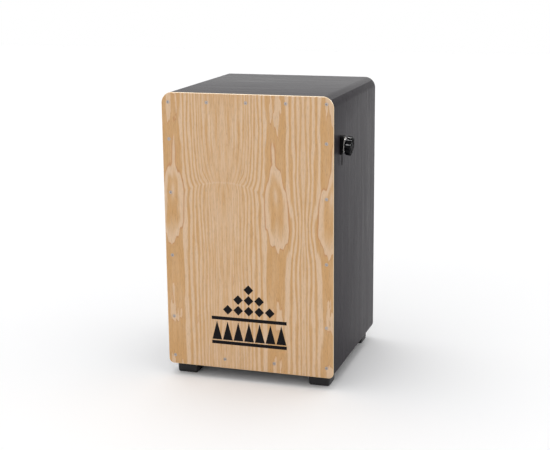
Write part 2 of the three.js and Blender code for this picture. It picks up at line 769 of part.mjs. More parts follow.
const feet = makeFeet();
const tapaScrews = makeTapaScrews();
body.add(...feet, ...tapaScrews);
const tapaBores = tapaScrews.map((screw) => boreIn(body, screw));
body.add(makeTapa(tapaBores), ...makeBattens(tapaBores), makeBackPanel());

const inBody = (geometry) => geometry.applyMatrix4(adjuster.matrixWorld);
const footScrews = feet.filter((mesh) => mesh.name.startsWith("foot_screw"));
const shellBores = [
  pegBore,
  inBody(cordHole(2.6 + GAP, -20, 1)),
  ...clampBores().map((bore) => bore.applyMatrix4(clamp.matrixWorld)),
  ...blockScrews.map((screw) => boreIn(body, screw)),
  ...footScrews.map((screw) => boreIn(body, screw)),
];
body.add(...makeShell(shellBores));

body.position.x = -KNOB_REACH / 2;
const cajon = new THREE.Group();
cajon.add(body);

export default cajon;
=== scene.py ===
# A cajon in a plain white studio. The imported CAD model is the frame: fine meshes and finishes are
# laid over its nodes. Metres, +Z up; the tapa, the struck front plate, faces -Y.

import json
import math

import bmesh
import bpy
from mathutils import Matrix, Quaternion, Vector


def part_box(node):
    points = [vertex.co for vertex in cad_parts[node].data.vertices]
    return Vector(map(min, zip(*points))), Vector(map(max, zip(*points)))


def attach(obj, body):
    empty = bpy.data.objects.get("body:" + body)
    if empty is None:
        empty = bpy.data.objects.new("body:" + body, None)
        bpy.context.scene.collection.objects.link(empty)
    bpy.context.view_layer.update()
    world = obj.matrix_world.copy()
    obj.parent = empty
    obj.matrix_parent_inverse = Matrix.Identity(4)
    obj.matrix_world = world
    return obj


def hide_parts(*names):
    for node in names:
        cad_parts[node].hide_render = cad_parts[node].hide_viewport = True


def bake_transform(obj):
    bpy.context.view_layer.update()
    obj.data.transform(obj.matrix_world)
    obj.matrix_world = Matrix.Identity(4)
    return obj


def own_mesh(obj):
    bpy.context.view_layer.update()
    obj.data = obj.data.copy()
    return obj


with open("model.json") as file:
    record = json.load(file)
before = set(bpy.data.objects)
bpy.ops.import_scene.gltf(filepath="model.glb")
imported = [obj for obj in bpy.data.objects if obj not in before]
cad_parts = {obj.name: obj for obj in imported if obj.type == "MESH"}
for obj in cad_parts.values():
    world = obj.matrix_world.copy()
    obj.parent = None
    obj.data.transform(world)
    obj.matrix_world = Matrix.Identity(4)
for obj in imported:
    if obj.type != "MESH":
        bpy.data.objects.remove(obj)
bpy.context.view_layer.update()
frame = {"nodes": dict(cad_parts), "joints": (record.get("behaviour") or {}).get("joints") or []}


def mm(value):
    return value / 1000


# ---- Places, from the frame ----

tapa_low, tapa_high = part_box("tapa")
shell_low, shell_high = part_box("left_side_panel")
back_low, back_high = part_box("back_panel")
FRONT = tapa_low.y
TAPA_REAR = tapa_high.y
SHELL_FRONT = shell_low.y
REAR = shell_high.y
BASE = tapa_low.z
TOP = tapa_high.z
MIDDLE_X = (tapa_low.x + tapa_high.x) / 2
MIDDLE_Z = (BASE + TOP) / 2
HALF_WIDTH = (tapa_high.x - tapa_low.x) / 2
WALL = shell_high.x - shell_low.x
JOINTS = {joint["name"]: joint for joint in frame["joints"]}

# The clamp screw's axis: its frame has its origin on the clamp block's face and +X outwards.
CLAMP_ORIGIN = Vector(JOINTS["knob_turn"]["pos_m"])
CLAMP_X = Vector(JOINTS["knob_turn"]["axis"]).normalized()
CLAMP_Z = CLAMP_X.cross(Vector((0, 1, 0))).normalized()
CLAMP = Matrix.Translation(CLAMP_ORIGIN) @ Matrix((CLAMP_X, (0, 1, 0), CLAMP_Z)).transposed().to_4x4()
WALL_FACE = MIDDLE_X + HALF_WIDTH

# ---- Sizes that a node's box doesn't give ----

GAP = mm(0.3)
TOP_RADIUS = mm(19)
BOTTOM_RADIUS = mm(9)
BACK_RIM = mm(4)
SOUND_HOLE_RADIUS = mm(57.5)
SOUND_HOLE_Z = mm(320)
KNOB_LOBES = 8
KNOB_RADIUS = mm(16)
KNOB_START = mm(4.6)  # distances along the clamp screw, from the block's face
KNOB_END = mm(14.3)
NECK_RADIUS = mm(4.8)
CLAMP_BORE = mm(2.8)
BLOCK_HEIGHT = mm(31.5)
BLOCK_SCREW_RISES = {"block_screw_upper": mm(11.4), "block_screw_lower": mm(-11.4)}
PIN_RADIUS = mm(4)
CORD_SIDE = mm(-4.2)
CORD_RISE = mm(9)
CORD_EXIT = Vector((WALL_FACE, CLAMP_ORIGIN.y + CORD_SIDE, CLAMP_ORIGIN.z + CORD_RISE))
ARC_STEPS = 24  # to a quarter circle
INK_DEPTH = mm(0.04)

# ---- Node trees ----


class Value:
    """A number in a finish's node tree. Arithmetic on it adds Math nodes."""

    def __init__(self, finish, socket):
        self.finish = finish
        self.socket = socket

    def __abs__(self):
        return self.finish.calc("ABSOLUTE", self)


MATHS = {"add": "ADD", "sub": "SUBTRACT", "mul": "MULTIPLY", "truediv": "DIVIDE", "pow": "POWER"}
for name, operation in MATHS.items():
    setattr(Value, f"__{name}__", lambda a, b, kind=operation: a.finish.calc(kind, a, b))
    setattr(Value, f"__r{name}__", lambda a, b, kind=operation: a.finish.calc(kind, b, a))


class Finish:
    """A material being made round one Principled shader. Its calls add nodes and return Values."""

    def __init__(self, name, **settings):
        self.material = bpy.data.materials.new(name)
        self.material.use_nodes = True
        self.tree = self.material.node_tree
        self.tree.nodes.clear()
        output = self.tree.nodes.new("ShaderNodeOutputMaterial")
        self.shader = self.tree.nodes.new("ShaderNodeBsdfPrincipled")
        self.tree.links.new(self.shader.outputs[0], output.inputs[0])
        self.set(**settings)

    def feed(self, socket, given):
        if isinstance(given, Value):
            self.tree.links.new(given.socket, socket)
        else:
            socket.default_value = given

    def set(self, **settings):
        """Feeds the shader's sockets: base_color is its Base Color, and so on."""
        names = {"ior_level": "Specular IOR Level", "coat": "Coat Weight"}
        for key, given in settings.items():
            name = names.get(key, key.replace("_", " ").title())
            self.feed(self.shader.inputs[name], given)

    def node(self, kind, inputs, output=0, **settings):
        made = self.tree.nodes.new("ShaderNode" + kind)
        for key, setting in settings.items():
            setattr(made, key, setting)
        for key, given in inputs.items():
            self.feed(made.inputs[key], given)
        return Value(self, made.outputs[output])

    def calc(self, operation, *terms):
        return self.node("Math", dict(enumerate(terms)), operation=operation)

    def smallest(self, *terms):
        least = terms[0]
        for term in terms[1:]:
            least = self.calc("MINIMUM", least, term)
        return least

    def place(self, origin=(0, 0, 0)):
        """Where a point is on its piece, in millimetres from an origin given in metres."""
        here = self.node("TexCoord", {}, output=3)
        parts = self.tree.nodes.new("ShaderNodeSeparateXYZ")
        self.feed(parts.inputs[0], here)
        return [(Value(self, parts.outputs[i]) - origin[i]) * 1000 for i in range(3)]

    def noise(self, x, y, z, detail=2.0, roughness=0.5):
        """Smooth noise from about 0.2 to 0.8, one unit of x, y and z to a feature."""
        point = self.node("CombineXYZ", {0: x, 1: y, 2: z})
        inputs = {"Vector": point, "Scale": 1.0, "Detail": detail, "Roughness": roughness}
        return self.node("TexNoise", inputs)

    def step(self, value, low, high):
        """0 below low, 1 above high, and smooth between them."""
        inputs = {"Value": value, "From Min": low, "From Max": high}
        return self.node("MapRange", inputs, interpolation_type="SMOOTHSTEP")

    def bell(self, value, centre, width):
        """1 at the centre, falling away on both sides."""
        return self.calc("EXPONENT", ((value - centre) / width) ** 2 * -1)

    def mix(self, first, second, share):
        return self.node("Mix", {0: share, 6: first, 7: second}, output=2, data_type="RGBA")

    def blend_to(self, value, target, share):
        return value + (target - value) * share

    def tint(self, colour, factor):
        """A colour made darker or lighter by a factor."""
        grey = self.node("CombineXYZ", {0: factor, 1: factor, 2: factor})
        inputs = {0: 1.0, 6: colour, 7: grey}
        return self.node("Mix", inputs, output=2, data_type="RGBA", blend_type="MULTIPLY")

    def bump(self, height, depth_mm, strength=1.0):
        inputs = {"Height": height, "Distance": mm(depth_mm), "Strength": strength}
        self.set(normal=self.node("Bump", inputs))


def colour(red, green, blue):
    """A linear colour from the 0 to 255 values that a screen shows."""
    return tuple(((v / 255 + 0.055) / 1.055) ** 2.4 for v in (red, green, blue)) + (1.0,)


# ---- Finishes ----

HEARTS = (-133, 50, 147)  # middles of the veneer leaves' figures, from the box's middle
SEAM = (HEARTS[0] + HEARTS[1]) / 2


def growth_lines(f, x, z):
    """How light the ash is, 0 in latewood and 1 in earlywood, and how strong its dark outlines are.

    The leaves are book-matched, so the figure repeats with the distance from the nearest heart."""
    narrow = f.step(x, HEARTS[1] - 1, HEARTS[1] + 1)
    page = narrow * 7
    apart = f.smallest(*(abs(x - heart) for heart in HEARTS))
    wander = f.noise(apart / 45, page, z / 130, detail=1) - 0.5
    jitter = f.noise(apart / 8, page + 4, z / 32, detail=3) - 0.5
    u = apart + wander * 6 + jitter * 2.6

    # The lines bow out round the islands.
    waist = f.bell(z, 322 - 47 * narrow, 44)
    beyond = f.calc("MAXIMUM", u - 24, 0)
    bow = (3 + 7 * narrow) * waist * f.bell(beyond, 0, 15)

    # On the wide side they close in on an arch between two leaves, and spread out above it.
    arch = z - (350 - ((x - SEAM) / 17) ** 2) + jitter * 3
    above = 1 - f.calc("EXPONENT", f.calc("MAXIMUM", arch, 0) / -22)
    below = f.calc("EXPONENT", f.calc("MINIMUM", arch, 0) / 11)
    wide = (1 - narrow) * f.step(x, HEARTS[0] - 3, HEARTS[0] + 3) * f.step(u, 6, 22)
    spread = f.calc("MAXIMUM", f.smallest((apart - 4) * 0.27, (SEAM - HEARTS[0] - apart) * 0.36), 0)
    jog = wide * (spread * above - below * (1 - above) * 3)
    v = f.calc("MAXIMUM", u - bow + jog, 0)

    # Rings, closer and fainter away from the heart.
    tone = f.noise(apart / 11, page + 9, z / 85, detail=2) - 0.5
    strength = f.noise(v / 5, page + 2, z / 130, detail=2)
    phase = v ** 1.7 / 174 + tone * 1.1
    wave = f.calc("COSINE", phase * 2 * math.pi)
    fine = f.noise(v / 1.5, page + 6, z / 60, detail=3) - 0.5
    middling = f.noise(v / 3.4, page + 1, z / 110, detail=2) - 0.5
    rings = f.step(wave, -0.9, 0.6) * 1.02 - 0.02
    clear = (1 - f.step(v, 24, 92) * 0.88) * (0.45 + strength * 0.9)
    light = f.blend_to(0.56 + fine * 2.5 + middling * 1.6 + tone * 0.4, rings + fine * 0.6, clear)

    # Plain latewood along the heart.
    ragged = f.noise(x / 8, 2.4, z / 50, detail=2) - 0.5
    plain = 1 - f.step(v + ragged * 5, 11, 15.5)
    light = f.blend_to(light, 0.1 + tone * 0.9 + fine * 0.9, plain)

    # Islands: pale, with a thin dark outline and a darker core round an eye.
    frayed = z + (f.noise(x / 11, 8.4, z / 60, detail=1) - 0.5) * 60 + jitter * 8
    lens = 21 * f.step(frayed, 232, 276) ** 0.6 * (1 - f.step(frayed, 322, 404))
    tail = 3.6 * f.step(frayed, 232, 300) * (1 - f.step(frayed, 412, 446))
    half = f.calc("MAXIMUM", lens, tail)
    lean = (z - 340) * 0.05
    leaning = (x - lean - HEARTS[0], x + lean - HEARTS[1], x - lean - HEARTS[2])
    off = f.smallest(*(abs(offset) for offset in leaning))
    inside = half - off + jitter * 2
    light = f.blend_to(light, 0.93 + fine * 0.5, f.step(inside, 0, 1.4))
    core = f.step(inside + ragged * 12, 6, 12) * f.step(frayed, 246, 290) * (1 - f.step(frayed, 346, 378))
    eye = f.bell(off, 0, 3.4) * f.bell(z, 332, 15)
    light = f.blend_to(light, 0.04 + fine * 0.6 + tone * 0.6, core * (1 - eye) * 0.95)
    outline = f.bell(inside, 0.2, 1.0) * f.step(half, 0.6, 3) * (0.35 + strength)

    # Pale flames at both ends of each heart.
    lick = f.noise(x / 7.5, 3.3, z / 60, detail=3)
    ends = f.step(z, 84, 110) * (1 - f.step(z, 150, 184)) + 1 - f.step(z, 26, 64) + f.step(z, 420, 466)
    lit = lick + ends * (1 - f.step(apart, 7, 15)) * 0.28
    light = f.blend_to(light, 0.86 + fine * 0.5, f.step(lit, 0.74, 0.77))
    outline = f.calc("MAXIMUM", outline, f.bell(lit, 0.738, 0.012) * 0.8)
    ridge = f.bell(arch, 0, 1.5) * wide * f.step(u, 45, 60)
    return light + ridge * 0.25, outline


def ash_veneer():
    f = Finish("ash_veneer", ior_level=0.2)
    x, y, z = f.place((MIDDLE_X, FRONT, 0))
    light, outline = growth_lines(f, x, z)
    face = f.mix(colour(202, 158, 107), colour(219, 188, 156), light)
    face = f.mix(face, colour(188, 134, 90), outline * 0.75)
    pores = f.noise(x / 0.8, 0.5, z / 7, detail=2)
    streaks = f.noise(x / 2.2, 8.8, z / 50, detail=2)
    speck = f.step(pores, 0.55, 0.68)
    face = f.tint(face, 0.94 - speck * 0.09 - (streaks - 0.5) * 0.12 - (pores - 0.5) * 0.2)

    # The plate's edge shows its plies: face veneer, a cross-grained core and the back ply.
    grain = f.noise(x / 1.5, y / 0.3, z / 1.5, detail=3) - 0.5
    from_core = abs(y - 1.7)
    ply = f.mix(colour(246, 224, 190), colour(226, 194, 150), f.step(from_core, 0.55, 0.62))
    ply = f.tint(ply, 1 + grain * 0.25 - f.bell(from_core, 0.6, 0.07) * 0.3)
    f.set(base_color=f.mix(face, ply, f.step(y, 0.12, 0.4)))
    f.set(roughness=0.4 + speck * 0.12 + (streaks - 0.5) * 0.1)
    f.bump(pores * 0.6 + light * 0.2, 0.05)
    return f.material


def along(axis, x, y, z, length, width):
    """Coordinates stretched along a grain axis: length and width are a feature's size, in millimetres."""
    return [value / (length if name == axis else width) for name, value in zip("xyz", (x, y, z))]


def black_wood(axis, sheen):
    """Black stain under satin lacquer, over open grain that runs along an axis."""
    f = Finish(f"black_wood_{axis}", ior_level=sheen)
    x, y, z = f.place()
    broad = f.noise(*along(axis, x, y, z, 300, 9), detail=2) - 0.5
    pores = f.noise(*along(axis, x, y, z, 16, 0.5), detail=2) - 0.5
    lines = f.noise(*along(axis, x, y, z, 110, 2.2), detail=3) - 0.5
    rubbed = f.step(lines + broad * 0.5, 0.02, 0.2)
    tone = f.mix(colour(46, 43, 47), colour(66, 62, 67), rubbed * 0.7 + f.step(pores, 0.08, 0.2) * 0.3)
    f.set(base_color=tone)
    f.set(roughness=0.33 + pores * 0.2 + lines * 0.35 + broad * 0.2)
    f.bump(pores * 0.6 + lines * 0.8, 0.05)
    return f.material


def plain_wood(name, axis, light, dark, ring=3.2):
    """Bare sanded wood with straight growth lines along an axis."""
    f = Finish(name, ior_level=0.3)
    x, y, z = f.place()
    sway = f.noise(*along(axis, x, y, z, 160, 26), detail=1)
    rings = f.noise(*along(axis, x, y, z, 420, ring), detail=3, roughness=0.6)
    fibre = f.noise(*along(axis, x, y, z, 9, 0.35), detail=2)
    share = f.step(rings + (sway - 0.5) * 0.3, 0.35, 0.68)
    f.set(base_color=f.tint(f.mix(light, dark, share), 1.05 - (fibre - 0.5) * 0.35))
    f.set(roughness=0.62 + (fibre - 0.5) * 0.25)
    f.bump(fibre * 0.7 + rings * 0.3, 0.06)
    return f.material


def moulded(name, tone, roughness, grain_mm, depth_mm, worn=0.15, **settings):
    """Moulded plastic or rubber: fine grain, uneven sheen and dust in the texture."""
    f = Finish(name, **settings)
    x, y, z = f.place()
    grain = f.noise(x / grain_mm, y / grain_mm, z / grain_mm, detail=3, roughness=0.6)
    patch = f.noise(x / 9, y / 9, z / 9, detail=2)
    f.set(base_color=f.tint(tone, 1 + (patch - 0.5) * worn * 4))
    f.set(roughness=roughness + (patch - 0.5) * 0.2 + (grain - 0.5) * 0.12)
    f.bump(grain, depth_mm)
    return f.material


def metal(name, tone, roughness, scratch_mm=0.3):
    """Plated or drawn metal: fine crossing scratches over slow stains."""
    f = Finish(name, metallic=1.0)
    x, y, z = f.place()
    stain = f.noise(x / 4, y / 4, z / 4, detail=3)
    scratch = f.noise(x / scratch_mm, y / scratch_mm / 6, z / scratch_mm, detail=2)
    f.set(base_color=f.tint(tone, 1 + (stain - 0.5) * 0.3))
    f.set(roughness=roughness + (stain - 0.5) * 0.22 + (scratch - 0.5) * 0.15)
    f.bump(scratch, 0.008)
    return f.material


def cord_fibre():
    f = Finish("dark_cord", roughness=0.85, ior_level=0.25)
    x, y, z = f.place()
    fibre = f.noise(x / 0.12, y / 0.12, z / 0.5, detail=2)
    f.set(base_color=f.mix(colour(8, 8, 7), colour(28, 26, 24), f.step(fibre, 0.35, 0.7)))
    f.bump(fibre, 0.03)
    return f.material


def ink():
    """Screen-printed black, a little thin where the grain is open."""
    f = Finish("printed_ink", ior_level=0.08)
    x, _, z = f.place()
    pores = f.noise(x / 0.7, 0.5, z / 9, detail=2)
    f.set(base_color=f.mix(colour(18, 17, 20), colour(44, 38, 36), f.step(pores, 0.6, 0.75)))
    f.set(roughness=0.5 + (pores - 0.5) * 0.3)
    f.bump(pores, 0.02)
    return f.material


ASH = ash_veneer()
BLACK_X = black_wood("x", 0.125)
BLACK_Z = black_wood("z", 0.024)
BIRCH_X, BIRCH_Z = (
    plain_wood(f"birch_ply_{axis}", axis, colour(224, 196, 158), colour(198, 162, 118), ring=7)
    for axis in "xz"
)
PINE_X, PINE_Z = (
    plain_wood(f"batten_{axis}", axis, colour(222, 186, 138), colour(186, 138, 86)) for axis in "xz"
)
RUBBER = moulded("black_rubber", colour(30, 29, 30), 0.62, 0.7, 0.05, ior_level=0.35)
GLOSS = {"ior_level": 0.0, "coat": 0.13, "coat_roughness": 0.16}
PLASTIC = moulded("black_plastic", colour(9, 9, 12), 0.2, 0.9, 0.012, **GLOSS)
MATT_PLASTIC = moulded("matt_plastic", colour(12, 11, 12), 0.5, 0.6, 0.03, ior_level=0.06)
ZINC = metal("zinc_steel", colour(196, 193, 190), 0.34)
SCREW_STEEL = metal("screw_steel", colour(184, 174, 169), 0.38)
BRIGHT = metal("snare_steel", colour(214, 214, 216), 0.22)
BRASS = metal("brass", colour(214, 178, 98), 0.3)
CORD = cord_fibre()
INK = ink()

# ---- Meshes ----

SHARP = math.radians(32)


def show(name, vertices, faces, *finishes):
    """A named mesh object, smooth except at its sharp edges, with its faces pointing out."""
    mesh = bpy.data.meshes.new(name)
    mesh.from_pydata([tuple(v) for v in vertices], [], faces)
    tidy = bmesh.new()
    tidy.from_mesh(mesh)
    bmesh.ops.remove_doubles(tidy, verts=tidy.verts, dist=1e-7)
    bmesh.ops.recalc_face_normals(tidy, faces=tidy.faces)
    tidy.to_mesh(mesh)
    tidy.free()
    for finish in finishes:
        mesh.materials.append(finish)
    made = bpy.data.objects.new(name, mesh)
    bpy.context.scene.collection.objects.link(made)
    smooth(made)
    return made


def smooth(piece):
    piece.data.shade_smooth()
    piece.data.set_sharp_from_angle(angle=SHARP)


def skin(loops, ring=False):
    """Vertices and faces of a skin through closed loops of points, capped at the ends or joined in a ring."""
    count = len(loops[0])
    vertices = [point for loop in loops for point in loop]
    faces = []
    last = len(loops) if ring else len(loops) - 1
    for k in range(last):
        here, there = k * count, (k + 1) % len(loops) * count
        for i in range(count):
            j = (i + 1) % count
            faces.append((here + i, here + j, there + j, there + i))
    if not ring:
        faces.append(tuple(range(count)))
        faces.append(tuple(range(len(vertices) - count, len(vertices))))
    return vertices, faces


def together(parts):
    """Several (vertices, faces) as one."""
    vertices, faces = [], []
    for part_vertices, part_faces in parts:
        offset = len(vertices)
        vertices += part_vertices
        faces += [tuple(i + offset for i in face) for face in part_faces]
    return vertices, faces


def moved(part, matrix):
    vertices, faces = part
    return [matrix @ Vector(v) for v in vertices], faces


def carve(piece, *tools):
    """Cuts (vertices, faces) tools out of a piece."""
    cutter = show(piece.name + "_cutter", *together(tools))
    change = piece.modifiers.new("cut", "BOOLEAN")
    change.operation = "DIFFERENCE"
    change.solver = "EXACT"
    change.object = cutter
    made = bpy.data.meshes.new_from_object(piece.evaluated_get(bpy.context.evaluated_depsgraph_get()))
    piece.modifiers.clear()
    piece.data = made
    bpy.data.objects.remove(cutter)
    smooth(piece)


def finish_with(piece, finish, chosen):
    """Gives a second finish to the faces whose middle passes a test."""
    piece.data.materials.append(finish)
    index = len(piece.data.materials) - 1
    for face in piece.data.polygons:
        if chosen(face.center):
            face.material_index = index


def arc(cx, cy, radius, start, end, steps=ARC_STEPS):
    """Points of an arc, from one angle to another, in degrees."""
    angles = [math.radians(start + (end - start) * i / steps) for i in range(steps + 1)]
    return [(cx + radius * math.cos(a), cy + radius * math.sin(a)) for a in angles]


def rounded(half_x, low, high, low_radius, high_radius, inset=0.0, steps=ARC_STEPS):
    """A rounded rectangle about x = 0, from low to high, with its edge moved in by an inset."""
    corners = [
        (half_x - low_radius, low + low_radius, low_radius, -90),
        (half_x - high_radius, high - high_radius, high_radius, 0),
        (-half_x + high_radius, high - high_radius, high_radius, 90),
        (-half_x + low_radius, low + low_radius, low_radius, 180),
    ]
    return [p for cx, cy, r, a in corners for p in arc(cx, cy, max(r - inset, 1e-5), a, a + 90, steps)]


def eased(start, end, start_ease, end_ease, steps=5):
    """(distance, inset) pairs of a straight run whose two ends are rounded over."""
    round_over = [(1 - math.cos(a), 1 - math.sin(a)) for a in quarter(steps)]
    opening = [(start + start_ease * along, start_ease * inset) for along, inset in round_over]
    closing = [(end - end_ease * along, end_ease * inset) for along, inset in round_over]
    return opening + closing[::-1]


def slab(half_width, half_height, radius, edges, steps, place):
    """A plate with rounded corners; place turns (across, up, through) into a point."""
    loops = []
    for through, inset in edges:
        ring = rounded(half_width, -half_height, half_height, radius, radius, inset, steps)
        loops.append([place(across, up, through) for across, up in ring])
    return skin(loops)


def quarter(steps):
    return [math.pi / 2 * i / steps for i in range(steps + 1)]


def turned(profile, sides=48, ring=False):
    """A profile of (radius, distance) pairs turned about Z."""
    loops = []
    for radius, distance in profile:
        angles = [2 * math.pi * i / sides for i in range(sides)]
        loops.append([Vector((radius * math.cos(a), radius * math.sin(a), distance)) for a in angles])
    return skin(loops, ring)


def sweep(points, radius, sides=8):
    """A round section carried along a line of points without twisting."""
    tangents = []
    for i in range(len(points)):
        ahead = points[min(i + 1, len(points) - 1)]
        behind = points[max(i - 1, 0)]
        tangents.append((ahead - behind).normalized())
    side = tangents[0].orthogonal().normalized()
    loops = []
    for point, tangent in zip(points, tangents):
        side = (side - tangent * side.dot(tangent)).normalized()
        other = tangent.cross(side)
        angles = [2 * math.pi * i / sides for i in range(sides)]
        loops.append([point + (side * math.cos(a) + other * math.sin(a)) * radius for a in angles])
    return skin(loops)


def smooth_line(points, spacing):
    """Points at an even spacing along a Catmull-Rom curve through the given ones."""
    padded = [points[0] * 2 - points[1], *points, points[-1] * 2 - points[-2]]
    dense = []
    for a, b, c, d in zip(padded, padded[1:], padded[2:], padded[3:]):
        knots = [0.0]
        for p, q in ((a, b), (b, c), (c, d)):
            knots.append(knots[-1] + max((q - p).length, 1e-9) ** 0.5)
        for i in range(16):
            t = knots[1] + (knots[2] - knots[1]) * i / 16
            dense.append(on_curve((a, b, c, d), knots, t))
    dense.append(points[-1])
    lengths = [0.0]
    for p, q in zip(dense, dense[1:]):
        lengths.append(lengths[-1] + (q - p).length)
    count = max(2, round(lengths[-1] / spacing))
    line, k = [], 0
    for i in range(count + 1):
        goal = lengths[-1] * i / count
        while k < len(dense) - 2 and lengths[k + 1] < goal:
            k += 1
        share = (goal - lengths[k]) / max(lengths[k + 1] - lengths[k], 1e-12)
        line.append(dense[k].lerp(dense[k + 1], min(1.0, share)))
    return line


def on_curve(points, knots, t):
    """Barry and Goldman's pyramid for a Catmull-Rom curve."""
    level = list(points)
    for width in (1, 2, 3):
        nearer = []
        for i in range(len(level) - 1):
            low, high = (knots[1], knots[2]) if width == 3 else (knots[i], knots[i + width])
            share = (t - low) / (high - low)
            nearer.append(level[i].lerp(level[i + 1], share))
        level = nearer
    return level[0]


# ---- Shell ----

EASE = mm(0.8)


def panel_section(facing, inset):
    """A shell panel's section in X and Z, from mitre to mitre, with its outer and inner skins moved in.

    It faces outwards at an angle in degrees, from +X towards +Z."""
    outer, inner = [], []
    for corner, turn in ((facing + 45, facing + 45), (facing - 45, facing)):
        x = math.copysign(1, math.cos(math.radians(corner)))
        z = math.copysign(1, math.sin(math.radians(corner)))
        radius, edge = (TOP_RADIUS, TOP) if z > 0 else (BOTTOM_RADIUS, BASE)
        middle = (x * (HALF_WIDTH - radius), edge - z * radius)
        outer += arc(*middle, radius - inset, turn, turn - 45, ARC_STEPS // 2)
        inner.insert(0, (x * (HALF_WIDTH - WALL + inset), edge - z * (WALL - inset)))
    return outer + inner


def in_box(points, y):
    """A loop across the box, from points in X from its middle and Z."""
    return [Vector((MIDDLE_X + x, y, z)) for x, z in points]


def box_outline(inset, y):
    """A loop round the whole box, moved in by an inset."""
    return in_box(rounded(HALF_WIDTH, BASE, TOP, BOTTOM_RADIUS, TOP_RADIUS, inset), y)


def on_inside(point):
    """True on the faces that look into the box."""
    slack = mm(0.5)
    across = abs(point.x - MIDDLE_X) < HALF_WIDTH - WALL + slack
    return across and BASE + WALL - slack < point.z < TOP - WALL + slack


def rebate():
    """The step that the back panel sits in."""
    return skin([box_outline(BACK_RIM, y) for y in (back_low.y - GAP, REAR + mm(2))])


def along_x(part, origin):
    """Turns a part made about Z so that it runs along +X from an origin."""
    return moved(part, Matrix.Translation(origin) @ Matrix.Rotation(math.pi / 2, 4, "Y"))


INTO_BOX = Matrix.Rotation(-math.pi / 2, 4, "X")  # takes +Z to +Y


def along_y(part, origin):
    """Turns a part made about Z so that it runs along +Y from an origin."""
    return moved(part, Matrix.Translation(origin) @ INTO_BOX)


def clamp_part(part):
    """Puts a part made about Z into the clamp's frame, along the clamp screw."""
    return moved(part, CLAMP @ Matrix.Rotation(math.pi / 2, 4, "Y"))


def rod(radius, start, end, sides=32):
    return turned([(radius, start), (radius, end)], sides)


def make_shell():
    peg_end = face_middle("spring_peg", 0, 1)
    right_bores = [
        along_x(rod(mm(2.75), mm(-20), mm(1)), CORD_EXIT),
        along_x(rod(mm(1.65), 0, mm(7)), peg_end - Vector((mm(6.2), 0, 0))),
        clamp_part(rod(mm(4.15), mm(-30), mm(-1.8))),
    ]
    panels = (
        ("top", "top_panel", 90, BLACK_X, BIRCH_X),
        ("bottom", "bottom_panel", -90, BLACK_X, BIRCH_X),
        ("left", "left_side_panel", 180, BLACK_Z, BIRCH_Z),
        ("right", "right_side_panel", 0, BLACK_Z, BIRCH_Z),
    )
    for side, node, facing, outside, inside in panels:
        edges = eased(SHELL_FRONT, REAR, EASE, EASE)
        loops = [in_box(panel_section(facing, inset), y) for y, inset in edges]
        panel = show(f"shell_{side}", *skin(loops), outside)
        carve(panel, rebate(), *(right_bores if side == "right" else ()))
        finish_with(panel, inside, on_inside)
        dress(panel, node)


def node_middle(node):
    low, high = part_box(node)
    return (low + high) / 2


def face_middle(node, axis, end=0):
    """The middle of the low (0) or high (1) face of a node's box, across an axis."""
    place = node_middle(node)
    place[axis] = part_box(node)[end][axis]
    return place


def dress(piece, node, body="box"):
    """Lets a fine piece stand for its CAD node."""
    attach(piece, body)
    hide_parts(node)


def make_back():
    """The back panel, with a round-lipped sound hole."""
    rim = BACK_RIM + GAP / 2
    edges = eased(back_low.y, back_high.y, mm(0.2), mm(0.4), steps=3)
    back = show("back_plate", *skin([box_outline(rim + inset, y) for y, inset in edges]), BLACK_Z)
    radius, lip = SOUND_HOLE_RADIUS, mm(1.6)
    mouth = [(radius + lip * (1 - math.cos(a)), back_high.y - lip * (1 - math.sin(a))) for a in quarter(6)]
    outside = (radius + lip, back_high.y + mm(1))
    hole = turned([(radius, back_low.y - mm(1)), *mouth, outside], sides=128)
    carve(back, along_y(hole, Vector((MIDDLE_X, 0, SOUND_HOLE_Z))))
    finish_with(back, BIRCH_Z, lambda middle: middle.y < back_low.y + mm(0.05))
    dress(back, "back_panel")


# ---- Tapa ----


def make_tapa():
    edges = eased(FRONT, TAPA_REAR, mm(1.6), mm(0.3))
    plate = show("tapa_plate", *skin([box_outline(inset, y) for y, inset in edges]), ASH)
    sink = [(mm(r), mm(y)) for r, y in ((3.25, -1), (3.25, 0.1), (3.0, 0.5), (1.65, 2.1), (1.65, 6))]
    places = [node_middle(node) for node in TAPA_SCREWS]
    carve(plate, *(along_y(turned(sink, 32), Vector((place.x, FRONT, place.z))) for place in places))
    dress(plate, "tapa")


def prism(points):
    """A thin printed shape on the tapa's face, from points in X and Z in millimetres."""
    loops = [[Vector((MIDDLE_X + mm(x), y, mm(z))) for x, z in points] for y in (FRONT - INK_DEPTH, FRONT)]
    return skin(loops)


def make_print():
    """A band of triangles between two bars, under a stack of diamonds."""
    low, high, half, bar, count = 64, 114, 68, 6, 7
    pitch = 2 * half / count
    spacing, reach = 19, 8.8
    parts = []
    for z in (low, high - bar):
        parts.append(prism([(-half, z), (half, z), (half, z + bar), (-half, z + bar)]))
    for i in range(count):
        left = -half + i * pitch
        foot, peak = low + bar + 2, high - bar - 2
        parts.append(prism([(left + 0.7, foot), (left + pitch - 0.7, foot), (left + pitch / 2, peak)]))
    for row, width in enumerate((5, 3, 1)):
        z = high + 13 + row * spacing
        for i in range(width):
            x = (i - (width - 1) / 2) * spacing
            parts.append(prism([(x, z - reach), (x + reach, z), (x, z + reach), (x - reach, z)]))
    band = show("printed_band", *together(parts), INK)
    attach(band, "box")


# ---- Screws ----

# Head radius, rim, head height, shank radius, length and tip, in millimetres.
SCREWS = {
    "countersunk": (2.9, 0.4, 2.0, 1.5, 16.5, 2.5),
    "block": (2.3, 0.35, 1.5, 1.2, 11.0, 1.5),
    "pan": (2.8, 1.6, 1.6, 1.5, 12.0, 2.0),
    "foot": (4.0, 2.4, 2.4, 2.0, 19.5, 2.5),
}
TAPA_SCREWS = sorted(name for name in frame["nodes"] if name.startswith("tapa_screw"))


